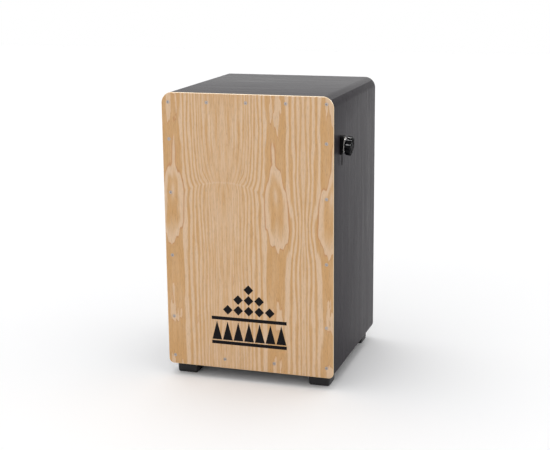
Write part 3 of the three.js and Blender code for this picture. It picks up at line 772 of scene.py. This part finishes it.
def screw_profile(kind):
    """A screw turned about Z, with its head's face at 0 and its point along +Z."""
    head, rim, height, shank, length, tip = (mm(value) for value in SCREWS[kind])
    flat = rim < height
    profile = []
    for i in range(1, 7):
        share = i / 6
        crown = mm(0.1) * share**4 if flat else 0.45 * height * share**3
        profile.append((head * 0.96 * share, crown))
    profile.append((head, profile[-1][1] + mm(0.12)))
    profile.append((head, max(rim, profile[-1][1] + mm(0.05))))
    profile.append((shank, height))
    pitch = mm(1.2)
    z = height + pitch
    while z < length - tip:
        profile += [(shank * 0.78, z), (shank, z + pitch * 0.5), (shank * 0.78, z + pitch * 0.72)]
        z += pitch
    profile.append((mm(0.12), length))
    return profile


def cross_recess(kind):
    """A tapered cross for the driver."""
    head, _, height, *_ = (mm(value) for value in SCREWS[kind])
    loops = []
    for reach, half, depth in ((0.66, 0.15, -0.3), (0.6, 0.135, 0.1), (0.3, 0.1, 0.62), (0.16, 0.09, 0.8)):
        a, b = head * reach, head * half
        arm, outline = [(a, -b), (a, b), (b, b)], []
        for _ in range(4):
            outline += arm
            arm = [(-y, x) for x, y in arm]
        loops.append([Vector((x, y, height * depth)) for x, y in outline])
    return skin(loops)


def screw_mesh(kind):
    model = show(f"{kind}_screw_model", *turned(screw_profile(kind), 40), SCREW_STEEL)
    carve(model, cross_recess(kind))
    mesh = model.data
    bpy.data.objects.remove(model)
    return mesh


def make_screw(kind, node, place, body="box"):
    """A copy of one kind of screw for a CAD screw; place takes +Z to its axis."""
    made = bpy.data.objects.new(f"cross_{node}", SCREW_MESHES[kind])
    bpy.context.scene.collection.objects.link(made)
    made.matrix_world = place
    dress(made, node, body)


def block_screw_place(rise):
    """Where a block screw's head is, with +Z into the wall."""
    turn = Matrix.Rotation(-math.pi / 2, 4, "Y")
    return CLAMP @ Matrix.Translation((mm(-0.1), mm(3.6), rise)) @ turn


def make_screws():
    """Every screw, each stopped at its own angle."""
    for i, node in enumerate(TAPA_SCREWS):
        place = Matrix.Translation(face_middle(node, 1) + Vector((0, mm(0.02), 0)))
        make_screw("countersunk", node, place @ INTO_BOX @ spin(math.radians(37 * i + 11)))
    for i, node in enumerate(SNARE_SCREWS):
        backwards = node == "snare_lever_screw"
        place = Matrix.Translation(face_middle(node, 1, int(backwards)))
        turn = Matrix.Rotation(math.pi / 2, 4, "X") if backwards else INTO_BOX
        make_screw("pan", node, place @ turn @ spin(0.7 * i), "snare_bar")
    for i, corner in enumerate(CORNERS):
        node = f"foot_screw_{corner}"
        make_screw("foot", node, Matrix.Translation(face_middle(node, 2)) @ spin(0.5 * i + 0.3))
    for node, rise in BLOCK_SCREW_RISES.items():
        make_screw("block", node, block_screw_place(rise))


def spin(angle):
    return Matrix.Rotation(angle, 4, "Z")


CORNERS = ("front_left", "front_right", "rear_left", "rear_right")
SNARE_SCREWS = [f"snare_fan_screw_{side}_{i}" for side in ("left", "right") for i in (1, 2)]
SNARE_SCREWS.append("snare_lever_screw")
SCREW_MESHES = {kind: screw_mesh(kind) for kind in SCREWS}


# ---- Feet ----


def make_feet():
    for corner in CORNERS:
        low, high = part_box(f"foot_{corner}")
        centre = (low + high) / 2
        half = (high.x - low.x) / 2
        height = high.z - low.z
        middle = Vector((centre.x, centre.y, low.z))

        def tapered(x, y, z):
            narrow = 1 - 0.04 * (1 - z / height)
            return middle + Vector((x * narrow, y * narrow, z))

        edges = eased(0, height, mm(2.6), mm(0.8), steps=6)
        foot = show(f"rubber_foot_{corner}", *slab(half, half, mm(4.5), edges, 10, tapered), RUBBER)
        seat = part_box(f"foot_screw_{corner}")[0].z
        well, bore = mm(5.2), mm(2.2)
        profile = [(mm(5.6), mm(-1)), (well, mm(0.5)), (well, seat), (bore, seat), (bore, height + mm(1))]
        carve(foot, moved(turned(profile, 40), Matrix.Translation((centre.x, centre.y, 0))))
        dress(foot, f"foot_{corner}")


# ---- Snare adjuster ----


def knob_loop(inset, distance, depth=mm(2.6)):
    """One outline of the knob: round lobes with narrow notches between them."""
    count = KNOB_LOBES * 20
    points = []
    for i in range(count):
        angle = 2 * math.pi * i / count
        lobe = math.sqrt(0.5 + 0.5 * math.cos(KNOB_LOBES * angle))
        radius = KNOB_RADIUS - inset - depth * (1 - lobe)
        points.append(Vector((radius * math.cos(angle), radius * math.sin(angle), distance)))
    return points


def knob_pocket(index):
    """One of the moulding pockets between the knob's hub and its rim."""
    middle = 360 / KNOB_LOBES * (index + 0.5)
    spread = 15
    loops = []
    for grow, depth in ((0.5, mm(-0.5)), (0.0, mm(0.3)), (-0.35, mm(3))):
        z = KNOB_END - depth
        out = mm(11.6 + grow)
        into = mm(6.6 - grow)
        outer = arc(0, 0, out, middle - spread - grow * 2, middle + spread + grow * 2, 8)
        inner = arc(0, 0, into, middle + spread * 0.8 + grow * 2, middle - spread * 0.8 - grow * 2, 8)
        loops.append([Vector((x, y, z)) for x, y in outer + inner])
    return skin(loops)


def make_knob():
    loops = [knob_loop(inset, z) for z, inset in eased(KNOB_START, KNOB_END, mm(1.4), mm(1.4), steps=6)]
    knob = show("lobed_knob", *clamp_part(skin(loops)), PLASTIC)
    pockets = [clamp_part(knob_pocket(i)) for i in range(KNOB_LOBES)]
    carve(knob, *pockets, clamp_part(rod(CLAMP_BORE, 0, mm(10))))
    foot = mm(2.3)
    root = KNOB_START + mm(0.02)
    chamfer = [(NECK_RADIUS - mm(0.3), foot), (NECK_RADIUS, foot + mm(0.3))]
    flare = [(NECK_RADIUS + mm(r), root - mm(z)) for r, z in ((0, 1.4), (0.4, 0.5), (1.3, 0))]
    profile = [(CLAMP_BORE, foot), *chamfer, *flare, (CLAMP_BORE, root)]
    collar = show("knob_neck", *clamp_part(turned(profile, 48, ring=True)), PLASTIC)
    dress(knob, "clamp_knob", "clamp_knob")
    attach(collar, "clamp_knob")

    crest, root = mm(2.5), mm(2.15)
    profile = [(mm(1.9), mm(-12.4))]
    z = mm(-12)
    while z < mm(9):
        profile += [(crest, z + mm(0.1)), (crest, z + mm(0.25)), (root, z + mm(0.5)), (root, z + mm(0.65))]
        z += mm(0.8)
    profile.append((root, mm(9.7)))
    screw = show("threaded_stud", *clamp_part(turned(profile, 40)), ZINC)
    dress(screw, "clamp_screw", "clamp_knob")


def cord_slot(depth, low):
    """The cord's way down the block's face, from the exit to a low end."""
    ring = rounded(mm(1.2), low, CORD_RISE + mm(0.8), mm(0.3), mm(1.19), steps=6)
    return skin([[CLAMP @ Vector((x, CORD_SIDE + y, z)) for y, z in ring] for x in (-depth, mm(1))])


def make_clamp_block():
    """The block, a wedge whose face is square to the clamp screw, and the plate on its face."""
    thick = CLAMP_ORIGIN.x - WALL_FACE
    lean = -CLAMP_X.z / CLAMP_X.x
    half_width, half_height = mm(8), BLOCK_HEIGHT / 2
    place = Vector((WALL_FACE, CLAMP_ORIGIN.y, CLAMP_ORIGIN.z))

    def block_loop(x, slope, inset):
        ring = rounded(half_width, -half_height, half_height, mm(2.5), mm(4), inset, steps=10)
        return [place + Vector((x + z * slope, y, z)) for y, z in ring]

    ease = mm(1.0)
    loops = [block_loop(GAP, 0, mm(0.5)), block_loop(GAP + mm(0.5), 0, 0.0)]
    for a in quarter(6)[::-1]:
        loops.append(block_loop(thick - ease * (1 - math.cos(a)), lean, ease * (1 - math.sin(a))))
    block = show("wedge_block", *skin(loops), MATT_PLASTIC)

    carve(block, cord_slot(mm(1.2), mm(-30)))
    carve(block, cord_slot(mm(2.4), CORD_RISE - mm(4)))
    sink = [(mm(2.5), mm(-1)), (mm(2.5), mm(0.4)), (mm(1.35), mm(1.6)), (mm(1.35), mm(8))]
    sinks = [moved(turned(sink, 32), block_screw_place(rise)) for rise in BLOCK_SCREW_RISES.values()]
    cord_bore = along_x(rod(mm(1.6), mm(-1), mm(9)), CORD_EXIT)
    carve(block, cord_bore, clamp_part(rod(mm(2.9), mm(-12), mm(2))), *sinks)
    dress(block, "clamp_block")

    edges = eased(mm(0.6), mm(2.0), mm(0.35), mm(0.35), steps=4)
    shape = slab(mm(6.5), mm(12), mm(2.5), edges, 8, lambda y, z, x: CLAMP @ Vector((x, y, z)))
    plate = show("pressure_plate", *shape, ZINC)
    carve(plate, clamp_part(rod(CLAMP_BORE, mm(-1), mm(5))))
    dress(plate, "clamp_plate", "clamp_plate")


def make_wall_fittings():
    """The turned parts in the wall: the cord's bush, the clamp screw's insert and the spring's peg."""
    flange, back = -WALL - mm(1.8), -WALL - GAP
    bore, sleeve, wide = mm(1.3), mm(2.6), mm(4.5)
    profile = [
        (bore, flange + mm(0.5)), (mm(1.8), flange), (mm(4.1), flange), (wide, flange + mm(0.4)),
        (wide, back), (sleeve, back), (sleeve, mm(-1.2)), (mm(2.4), mm(-1)), (bore, mm(-1)),
    ]
    bush = show("flanged_bush", *along_x(turned(profile, 48, ring=True), CORD_EXIT), MATT_PLASTIC)
    dress(bush, "cord_bush")

    crest, root = mm(4), mm(3.5)
    profile = [(CLAMP_BORE, mm(-12.8)), (mm(3.6), mm(-13))]
    z = mm(-12.8)
    while z < mm(-3):
        profile += [(crest, z + mm(0.2)), (crest, z + mm(0.5)), (root, z + mm(0.8)), (root, z + mm(1.0))]
        z += mm(1.3)
    profile += [(mm(3.9), mm(-2.3)), (mm(3.9), mm(-2)), (CLAMP_BORE, mm(-2))]
    insert = show("brass_insert", *clamp_part(turned(profile, 48, ring=True)), BRASS)
    dress(insert, "threaded_insert")

    origin = face_middle("spring_peg", 0)
    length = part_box("spring_peg")[1].x - origin.x
    stem = length - mm(6.3)
    wide, shank = mm(3), mm(1.5)
    profile = [
        (mm(2.6), 0), (wide, mm(0.4)), (wide, mm(2.7)),
        (mm(1.85), mm(3.5)), (mm(1.8), mm(5.5)), (mm(1.85), mm(7.5)),
        (wide, mm(8.3)), (wide, stem), (shank, stem), (shank, length - mm(1)), (mm(0.4), length),
    ]
    peg = show("grooved_peg", *along_x(turned(profile, 40), origin), ZINC)
    dress(peg, "spring_peg")


# ---- Snares ----


def coil(start, end, radius, wire, pitch, per_turn=7, sides=5):
    """A close-wound coil of wire about a straight line."""
    length = (end - start).length
    axis = (end - start) / length
    side = axis.orthogonal().normalized()
    other = axis.cross(side)
    count = round(length / pitch * per_turn)
    points = []
    for i in range(count + 1):
        angle = 2 * math.pi * i / per_turn
        out = side * math.cos(angle) + other * math.sin(angle)
        points.append(start + axis * (length * i / count) + out * radius)
    return sweep(points, wire, sides)


def make_fans():
    """Each fan: a clip plate, ten coiled wires and the bead of solder that holds them."""
    for side in ("left", "right"):
        node = f"snare_fan_{side}"
        low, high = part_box(node)
        middle = (low.x + high.x) / 2
        plate_front = high.y - mm(0.8)
        bar_z = low.z + mm(8)
        edges = eased(plate_front, high.y, mm(0.2), mm(0.2), steps=3)
        shape = slab(mm(31), mm(8), mm(1.5), edges, 6, lambda x, z, y: Vector((middle + x, y, bar_z + z)))
        plate = show(f"{side}_clip_plate", *shape, BRIGHT)
        holes = []
        for i in (1, 2):
            spot = node_middle(f"snare_fan_screw_{side}_{i}")
            holes.append(along_y(rod(mm(1.7), 0, mm(3)), Vector((spot.x, plate_front - mm(1), spot.z))))
        carve(plate, *holes)
        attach(plate, "snare_bar")

        wires = []
        for i in range(10):
            step = i - 4.5
            foot = Vector((middle + step * mm(5.6), plate_front - mm(0.75), bar_z + mm(0.5)))
            tip = Vector((middle + step * mm(7.6), low.y + mm(1), high.z - mm(0.2)))
            wires.append(coil(foot, tip, mm(0.72), mm(0.2), mm(0.95)))
        fan = show(f"{side}_snare_wires", *together(wires), BRIGHT)
        dress(fan, node, "snare_bar")

        seam = [
            Vector((middle + mm(x), plate_front - mm(0.35), bar_z + mm(3.2 + 0.25 * math.sin(x))))
            for x in range(-28, 29)
        ]
        bead = show(f"{side}_solder_seam", *sweep(seam, mm(0.75), 10), ZINC)
        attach(bead, "snare_bar")


def make_snare_bar():
    low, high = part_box("snare_bar")
    middle = (low + high) / 2
    half = (high - low) / 2
    axis = Vector((0, middle.y, middle.z))
    edges = eased(low.x, high.x, mm(0.8), mm(0.8), steps=4)
    shape = slab(half.y, half.z, mm(2.5), edges, 8, lambda y, z, x: axis + Vector((x, y, z)))
    bar = show("snare_rail", *shape, PINE_X)
    bores = []
    for side in ("left", "right"):
        pin_low, pin_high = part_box(f"pivot_pin_{side}")
        start = pin_low.x - (mm(5) if side == "left" else GAP)
        end = pin_high.x + (mm(5) if side == "right" else GAP)
        bores.append(along_x(rod(PIN_RADIUS + mm(0.1), start, end, 48), axis))
    for node in SNARE_SCREWS:
        screw_low, screw_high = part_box(node)
        start, end = sorted((max(screw_low.y, low.y - mm(1)), min(screw_high.y, high.y + mm(1))))
        spot = node_middle(node)
        bores.append(along_y(rod(mm(1.65), start, end, 24), Vector((spot.x, 0, spot.z))))
    carve(bar, *bores)
    dress(bar, "snare_bar", "snare_bar")

    for side in ("left", "right"):
        node = f"pivot_pin_{side}"
        pin_low, pin_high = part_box(node)
        length = pin_high.x - pin_low.x
        chamfer = mm(0.6)
        narrow = PIN_RADIUS - chamfer
        profile = [(narrow, 0), (PIN_RADIUS, chamfer), (PIN_RADIUS, length - chamfer), (narrow, length)]
        origin = Vector((pin_low.x, middle.y, middle.z))
        pin = show(f"steel_{node}", *along_x(turned(profile, 48), origin), ZINC)
        dress(pin, node, "snare_bar")


def make_spring():
    """The return spring, hooked on the peg and in the lever's lower hole."""
    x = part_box("snare_lever")[1].x - mm(0.75)
    _, y, peg_z = node_middle("spring_peg")
    hook_z = node_middle("snare_lever").z - mm(2.5)
    coil_low, coil_high = peg_z + mm(10), hook_z - mm(12)
    radius = mm(3.5)
    turns, per_turn = 30, 12
    points = [Vector((x, y + a, b)) for a, b in arc(0, peg_z, mm(2.65), -225, 0, 24)]
    for i in range(turns * per_turn + 1):
        angle = 2 * math.pi * i / per_turn
        z = coil_low + (coil_high - coil_low) * i / (turns * per_turn)
        points.append(Vector((x + radius * math.sin(angle), y + radius * math.cos(angle), z)))
    points += [Vector((x + a, y, b)) for a, b in arc(0, hook_z - mm(2.2), mm(2.2), 180, -45, 24)]
    spring = show("coiled_spring", *sweep(smooth_line(points, mm(0.9)), mm(0.42), 8), BRIGHT)
    joint = JOINTS["snare_swing"]
    arm = y - joint["pos_m"][1]
    drop = arm * math.sin(math.radians(max(map(abs, joint["range_deg"]))))
    1 - drop / (hook_z - peg_z)
    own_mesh(spring)
    dress(spring, "return_spring")


def cord_route():
    """The pull cord's line, one length: lever, bush, wall, block, clamp plate and free end."""
    lever = Vector((MIDDLE_X + mm(126.25), mm(-78), mm(362.5)))
    _, wall_y, hole_z = CORD_EXIT
    block_half = BLOCK_HEIGHT / 2

    def in_clamp(z):
        return CLAMP @ Vector((mm(-0.3), CORD_SIDE, z))

    def beside(x, z):
        return Vector((x, wall_y, z))

    foot = in_clamp(-block_half - mm(0.6))
    mouth = in_clamp(CORD_RISE - mm(3))
    inside = [
        (-5, 0, 0), (-1, 0, 0), (1.6, 0, 0.2), (3.6, -1, 3), (4.2, -5, 13), (4.6, -14, 34), (5.2, -22.5, 54),
    ]
    return [
        *(lever + Vector(point) / 1000 for point in inside),
        beside(lever.x + mm(7), hole_z - mm(3.4)),
        beside(lever.x + mm(10.5), hole_z - mm(0.3)),
        beside(WALL_FACE - WALL, hole_z),
        CORD_EXIT,
        beside(mouth.x - mm(2.2), hole_z),
        beside(mouth.x - mm(0.7), hole_z - mm(0.7)),
        mouth,
        *(in_clamp(z) for z in (0, -block_half / 2, -block_half + mm(1))),
        *(beside(foot.x, foot.z - mm(drop)) for drop in (2, 6, 10, 16.5)),
    ]


def make_cord():
    """Three strands laid together, knotted behind the lever."""
    spacing = mm(0.45)
    line = smooth_line(cord_route(), spacing)
    lay = mm(2.6)
    offset, strand_radius = mm(0.42), mm(0.46)
    strands = []
    for strand in range(3):
        points = []
        side = Vector((0, 1, 0))
        for i, point in enumerate(line):
            tangent = (line[min(i + 1, len(line) - 1)] - line[max(i - 1, 0)]).normalized()
            side = (side - tangent * side.dot(tangent)).normalized()
            angle = 2 * math.pi * (i * spacing / lay + strand / 3)
            out = side * math.cos(angle) + tangent.cross(side) * math.sin(angle)
            points.append(point + out * offset)
        strands.append(sweep(points, strand_radius, 7))
    knot = []
    for i in range(49):
        a = 2 * math.pi * i / 48
        radius = mm(0.95) + mm(0.45) * math.cos(3 * a)
        turn = Vector((mm(0.6) * math.sin(3 * a), radius * math.cos(2 * a), radius * math.sin(2 * a)))
        knot.append(line[0] + turn)
    strands.append(sweep(knot, mm(0.55), 8))
    cord = show("laid_cord", *together(strands), CORD)
    start = Vector((WALL_FACE - mm(23.3), CLAMP_ORIGIN.y, CLAMP_ORIGIN.z + CORD_RISE))
    lever = line[0] + Vector((mm(5), 0, 0))
    along_cord = Vector((-0.93, 0, -0.366)).normalized()
    reach = (lever - start).dot(along_cord)
    start + along_cord * reach
    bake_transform(cord)
    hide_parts("pull_cord")


# ---- CAD nodes that keep their shape ----


def refine(node, finish, ease):
    """Eases a CAD node's edges with modifiers and gives it a finish."""
    kept = frame["nodes"][node]
    kept.data.materials.clear()
    kept.data.materials.append(finish)
    weld = kept.modifiers.new("weld", "WELD")
    weld.merge_threshold = 1e-6
    round_over = kept.modifiers.new("ease", "BEVEL")
    round_over.width = ease
    round_over.segments = 3
    round_over.limit_method = "ANGLE"
    round_over.angle_limit = math.radians(40)
    round_over.harden_normals = True


def refine_battens():
    for end in ("top", "bottom"):
        refine(f"front_batten_{end}", PINE_X, mm(1))
    for side in ("left", "right"):
        refine(f"front_batten_{side}", PINE_Z, mm(1))
        refine(f"pivot_block_{side}", PINE_Z, mm(1))
    refine("snare_lever", ZINC, mm(0.25))


# ---- Studio ----


def lamp(name, kind, where, energy, only_glints=False, **settings):
    """A lamp turned towards the middle of the box. It can leave everything but highlights alone."""
    data = bpy.data.lights.new(name, kind)
    data.energy = energy
    for key, setting in settings.items():
        setattr(data, key, setting)
    made = bpy.data.objects.new(name, data)
    made.location = where
    made.visible_diffuse = not only_glints
    aim = Vector((MIDDLE_X, 0, MIDDLE_Z))
    made.rotation_euler = (aim - made.location).to_track_quat("-Z", "Y").to_euler()
    bpy.context.scene.collection.objects.link(made)


SKY = 0.78  # how brightly the white room lights the object, against how white it looks


def make_studio():
    scene = bpy.context.scene
    scene.view_settings.view_transform = "Standard"
    scene.view_settings.look = "None"
    world = bpy.data.worlds.new("studio")
    world.use_nodes = True
    tree = world.node_tree
    room = tree.nodes["Background"]
    room.inputs["Color"].default_value = (1, 1, 1, 1)
    seen = tree.nodes.new("ShaderNodeLightPath")
    white = tree.nodes.new("ShaderNodeMapRange")
    white.inputs["To Min"].default_value = SKY
    white.inputs["To Max"].default_value = 1.0
    tree.links.new(seen.outputs["Is Camera Ray"], white.inputs["Value"])
    tree.links.new(white.outputs[0], room.inputs["Strength"])
    scene.world = world

    f = Finish("studio_floor", base_color=(0.94, 0.94, 0.945, 1.0), ior_level=0.0)
    x, y, _ = f.place()
    f.set(roughness=0.8 + (f.noise(x / 40, y / 40, 0.0) - 0.5) * 0.1)
    half = 6
    corners = [(-half, -half, 0), (half, -half, 0), (half, half, 0), (-half, half, 0)]
    floor = show("studio_floor", [Vector(c) for c in corners], [(0, 1, 2, 3)], f.material)
    if floor.data.polygons[0].normal.z < 0:
        floor.data.flip_normals()

    lamp("soft_sun", "SUN", (MIDDLE_X - 0.3, 0.45, 2.2), 0.95, angle=math.radians(60))
    lamp("front_fill", "SUN", (MIDDLE_X - 0.5, -2.0, 0.7), 0.4, angle=math.radians(60))
    lamp("glint_above", "AREA", (MIDDLE_X - 0.5, -0.25, 2.5), 300.0, True, shape="SQUARE", size=1.2)
    lamp("glint_behind", "AREA", (MIDDLE_X + 1.6, 0.67, 1.8), 250.0, True, shape="SQUARE", size=0.8)


def make_camera():
    """The view: from the right of the front and above, with a long lens."""
    azimuth, elevation = math.radians(17.8), math.radians(13.349)
    distance = 2.0052
    aim = Vector((MIDDLE_X + mm(48.97), FRONT, MIDDLE_Z + mm(22.61)))
    back = Vector((
        math.sin(azimuth) * math.cos(elevation),
        -math.cos(azimuth) * math.cos(elevation),
        math.sin(elevation),
    ))
    data = bpy.data.cameras.new("camera")
    data.lens = 78.52
    data.sensor_width = 36
    camera = bpy.data.objects.new("camera", data)
    roll = Quaternion((0, 0, 1), math.radians(-0.573))
    camera.rotation_mode = "QUATERNION"
    camera.rotation_quaternion = (-back).to_track_quat("-Z", "Y") @ roll
    camera.location = aim + back * distance
    bpy.context.scene.collection.objects.link(camera)
    bpy.context.scene.camera = camera


make_camera()
make_studio()
make_shell()
make_back()
make_tapa()
make_print()
make_screws()
make_feet()
make_knob()
make_clamp_block()
make_wall_fittings()
make_fans()
make_snare_bar()
make_spring()
make_cord()
refine_battens()
